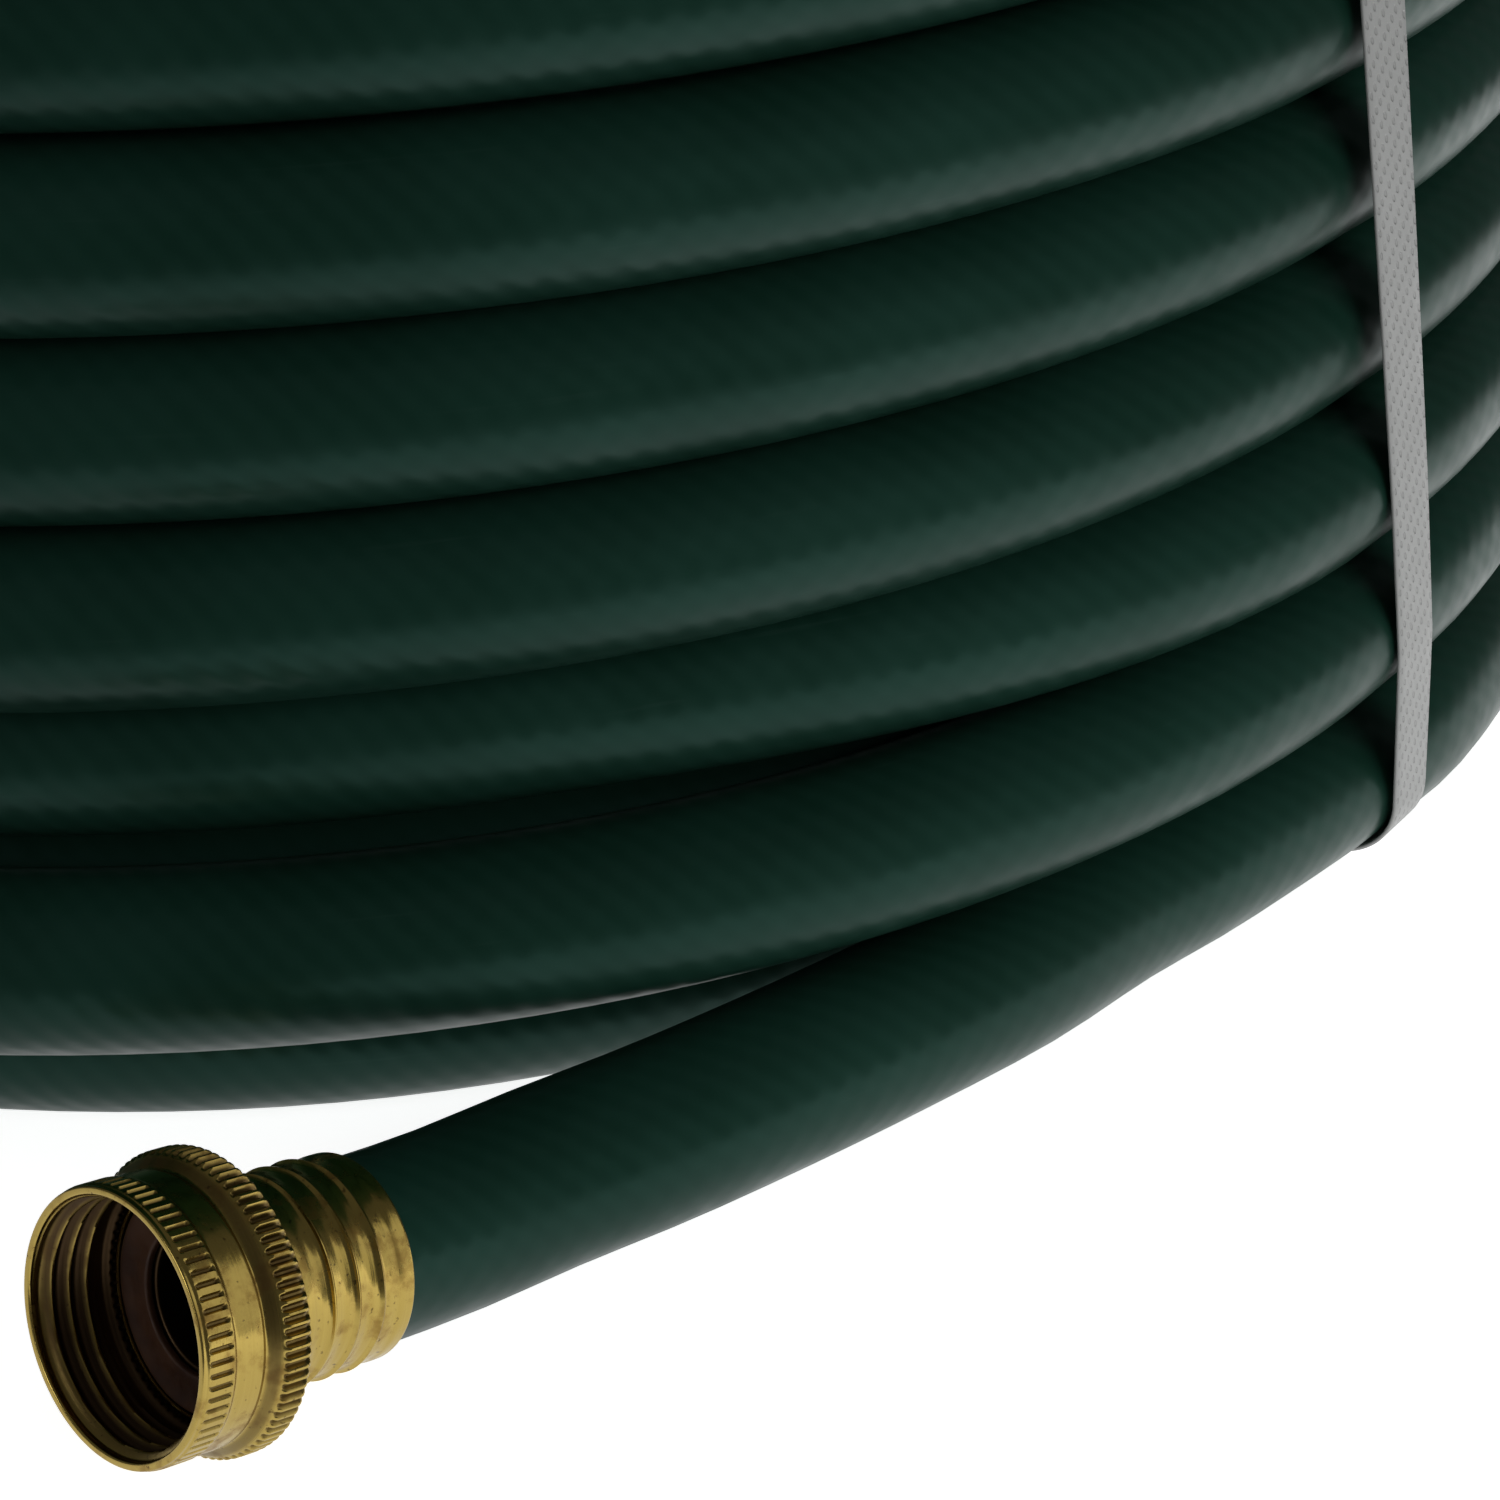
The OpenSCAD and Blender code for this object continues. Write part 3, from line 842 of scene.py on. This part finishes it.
def strap_loop(strap):
    """The strap's inner line round the turns, as (radius, height) points, and their normals."""
    turns = turns_crossed(strap)
    pull = HOSE_R + STRAP_GAP
    way = np.radians(np.arange(-90, 270, STRAP_TURN))
    normal = np.stack([np.cos(way), np.sin(way)], 1)
    corners = turns[np.argmax(normal @ turns.T, axis=1)] + pull * normal
    loop, normals = [], []
    for k in range(len(corners)):
        a, b = corners[k], corners[(k + 1) % len(corners)]
        parts = max(1, int(np.linalg.norm(b - a) / STRAP_STEP))
        for share in np.arange(parts) / parts:
            loop.append(a + (b - a) * share)
            normals.append(normal[k] if parts == 1 else np.array((b[1] - a[1], a[0] - b[0])))
            normals[-1] = normals[-1] / np.linalg.norm(normals[-1])
    return np.array(loop), np.array(normals)


def strap_section():
    """(across, out) corners of the strap's section, with rounded edges."""
    half, t, edge = STRAP_W / 2, STRAP_T, STRAP_EDGE
    right = [(half - edge, 0), (half, edge), (half, t - edge), (half - edge, t)]
    face = [(x, t) for x in np.linspace(half - edge, edge - half, 7)[1:-1]]
    left = [(-x, y) for x, y in reversed(right)]
    back = [(x, 0) for x in np.linspace(edge - half, half - edge, 7)[1:-1]]
    return right + face + left + back


def strap_points(strap, line, normals, lift):
    """The strap's grid of points: one row for each point of the line."""
    rows = []
    for (radius, z), (out_r, out_z), raised in zip(line, normals, lift):
        angle = math.radians(strap_angle(strap, z))
        outward = np.array((math.cos(angle), math.sin(angle), 0))
        sideways = np.array((-math.sin(angle), math.cos(angle), 0))
        foot = outward * radius + np.array((0, COIL_Y, z))
        normal = outward * out_r + np.array((0, 0, out_z))
        rows.append([foot + sideways * x + normal * (y + raised) for x, y in SECTION])
    return np.array(rows)


SECTION = strap_section()


def strap_band(name, strap):
    """The strap and its welded overlap, on the inner side of the coil."""
    line, normals = strap_loop(strap)
    inner = np.nonzero((normals[:, 0] < -0.98) & (np.abs(line[:, 1] - HALF_HEIGHT) < TAB_L / 2))[0]
    ends = np.clip(np.minimum(inner - inner[0], inner[-1] - inner) / 2.0, 0.15, 1)
    ribs = 0.5 + 0.5 * np.cos(line[inner, 1] * WELD_RIBS)
    weld = soft_box(np.abs(line[inner, 1] - HALF_HEIGHT), -1, 9, 2) * ribs
    loop = strap_points(strap, line, normals, np.zeros(len(line)))
    tab = strap_points(strap, line[inner], normals[inner], STRAP_T - 0.02 - WELD_SINK * weld)
    tab = tab * ends[:, None, None] + loop[inner] * (1 - ends)[:, None, None]
    columns = len(SECTION)
    faces = grid_faces(len(loop), columns, True)[:, ::-1].tolist()
    first = len(loop) * columns
    tab_faces = (grid_faces(len(tab), columns)[:, ::-1] + first).tolist()
    last = first + (len(tab) - 1) * columns
    caps = [list(range(first, first + columns)), list(range(last, last + columns))[::-1]]
    faces += tab_faces + caps
    verts = np.vstack([loop.reshape(-1, 3), tab.reshape(-1, 3)])
    piece = new_piece(name, verts, faces, strap_plastic)
    run = np.concatenate([[0], np.cumsum(np.linalg.norm(np.diff(line, axis=0), axis=1))])
    rows = np.concatenate([run, run[inner]])
    across = np.array([x for x, _ in SECTION])
    corner = np.array([v for f in faces for v in f])
    uv = np.stack([rows[corner // columns], across[corner % columns]], 1)
    set_uv(piece.data, "strap_run", uv * MM)
    piece.data.set_sharp_from_angle(angle=math.radians(50))
    return piece


# ---- making the model ----

PARTS = {
    "inlet_ferrule": (crimped_ferrule("inlet_sleeve", inlet_place), "root", "brass"),
    "inlet_tailpiece": (tailpiece("inlet_tail", inlet_place), "root", "brass"),
    "inlet_swivel_nut": (knurled_nut("swivel_nut", inlet_place), "inlet_nut", "brass"),
    "inlet_washer": (ring_washer("hose_washer", HOSE_WASHER, inlet_place, washer_rubber),
                     "inlet_nut", "washer"),
    "outlet_ferrule": (crimped_ferrule("outlet_sleeve", outlet_place), "root", "brass"),
    "outlet_threaded_shank": (threaded_shank("outlet_shank", outlet_place), "root", "brass"),
    "cap_washer": (ring_washer("cap_seal", CAP_WASHER, outlet_place, cap_rubber),
                   "cap_seat", "washer"),
    "end_cap": (knurled_cap("screw_cap", outlet_place), "end_cap", "brass"),
}
for strap in STRAPS:
    PARTS[strap] = (strap_band(strap.replace("strap", "band"), strap), "root", "strap")

for node, (piece, body, finish) in PARTS.items():
    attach(piece, body)
    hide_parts(node)

# The CAD's own hose layers stay, and get the right materials
for end in ("inlet", "outlet"):
    for layer, material in (("liner", liner_rubber), ("braid", yarn), ("cover", cover_end)):
        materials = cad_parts[f"{end}_hose_{layer}"].data.materials
        materials.clear()
        materials.append(material)

hose = hose_mesh(hose_cover)
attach(hose, "root")
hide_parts("hose_coil", "inlet_hose_run", "outlet_hose_run")

# ---- floor and light ----

FLOOR_SIDE = 12000.0
FLOOR_GLOW = 0.88
CARD_AT = (90.0, -10.0, -1.0)
CARD_FULL_R = 260.0
CARD_R = 400.0
CARD_SIDES = 96
# The card's glow rises from one side to the other
CARD_LEFT, CARD_RIGHT = -150.0, 300.0
CARD_GLOW_LEFT, CARD_GLOW_RIGHT = 0.55, 1.3
LIGHTS_FACE = (0.0, 0.0, 50.0)
WORLD_GLOW = 0.08
BACKDROP_GLOW = 0.92


def make_floor():
    """A white floor that takes shadows but isn't mirrored in the object."""
    n = Nodes("floor_white", Roughness=0.6)
    cloud = n.noise(n.place(), 3.0, 2.0)
    n.finish(Base_Color=n.mix(cloud, (0.93, 0.93, 0.93, 1), (0.95, 0.95, 0.95, 1)))
    n.shader.inputs["Emission Color"].default_value = (1, 1, 1, 1)
    n.shader.inputs["Emission Strength"].default_value = FLOOR_GLOW
    side = FLOOR_SIDE / 2
    verts = [(-side, -side, 0), (side, -side, 0), (side, side, 0), (-side, side, 0)]
    floor = new_piece("floor", verts, [(0, 1, 2, 3)], n.material, False)
    floor.visible_glossy = False
    floor.visible_diffuse = False


def make_card():
    """A lit round card that the camera doesn't see, in the floor's place. It keeps the light from
    below to the lower side of each turn, and it is brighter on the right."""
    n = Nodes("card_white", Roughness=1.0, Base_Color=(0, 0, 0, 1), Specular_IOR_Level=0.0)
    offset = n.add("VectorMath", {0: n.place(), 1: Vector(CARD_AT) * MM}, operation="DISTANCE")
    edge = n.ramp(offset.outputs["Value"], CARD_FULL_R * MM, CARD_R * MM, 1.0, 0.0)
    across = n.add("SeparateXYZ", {0: n.place()}).outputs[0]
    side = n.ramp(across, CARD_LEFT * MM, CARD_RIGHT * MM, CARD_GLOW_LEFT, CARD_GLOW_RIGHT)
    n.shader.inputs["Emission Color"].default_value = (1, 1, 1, 1)
    n.finish(Emission_Strength=n.math("MULTIPLY", edge, side))
    way = np.linspace(0, 2 * math.pi, CARD_SIDES, endpoint=False)
    verts = np.stack([CARD_R * np.cos(way), CARD_R * np.sin(way), 0 * way], 1) + CARD_AT
    card = new_piece("card", verts, [tuple(range(CARD_SIDES))], n.material, False)
    for ray in ("camera", "shadow", "transmission", "volume_scatter"):
        setattr(card, f"visible_{ray}", False)


def area_light(name, at, size, power, glossy=True):
    """A square soft box at a place in millimetres, which faces the middle of the coil."""
    data = bpy.data.lights.new(name, "AREA")
    data.size = size * MM
    data.energy = power
    light = bpy.data.objects.new(name, data)
    place = Vector(at) * MM
    light.location = place
    light.rotation_euler = (Vector(LIGHTS_FACE) * MM - place).to_track_quat("-Z", "Y").to_euler()
    light.visible_glossy = glossy
    bpy.context.scene.collection.objects.link(light)
    return light


def make_world():
    """A dim studio behind the lights, which the camera sees as a pale backdrop."""
    world = bpy.data.worlds.new("studio")
    world.use_nodes = True
    tree = world.node_tree
    sees = tree.nodes.new("ShaderNodeLightPath").outputs["Is Camera Ray"]
    glow = tree.nodes.new("ShaderNodeMapRange")
    glow.inputs["To Min"].default_value = WORLD_GLOW
    glow.inputs["To Max"].default_value = BACKDROP_GLOW
    tree.links.new(sees, glow.inputs["Value"])
    tree.links.new(glow.outputs[0], tree.nodes["Background"].inputs["Strength"])
    tree.nodes["Background"].inputs["Color"].default_value = (1, 1, 1, 1)
    bpy.context.scene.world = world


make_floor()
make_card()
area_light("overhead", at=(0, -200, 1800), size=2400.0, power=5.0, glossy=False)
area_light("front_right", at=(900, -700, 350), size=800.0, power=6.5, glossy=False)
area_light("front_left", at=(-1100, -1000, 500), size=500.0, power=2.0)
area_light("behind", at=(300, 1500, 900), size=900.0, power=16.0)
# One more light falls on the brass only
metal = bpy.data.collections.new("metal")
for piece, _, finish in PARTS.values():
    if finish == "brass":
        metal.objects.link(piece)
metal_light = area_light("metal_right", at=(860, -230, 300), size=650.0, power=0.7)
metal_light.light_linking.receiver_collection = metal
make_world()
bpy.context.scene.view_settings.view_transform = "Standard"
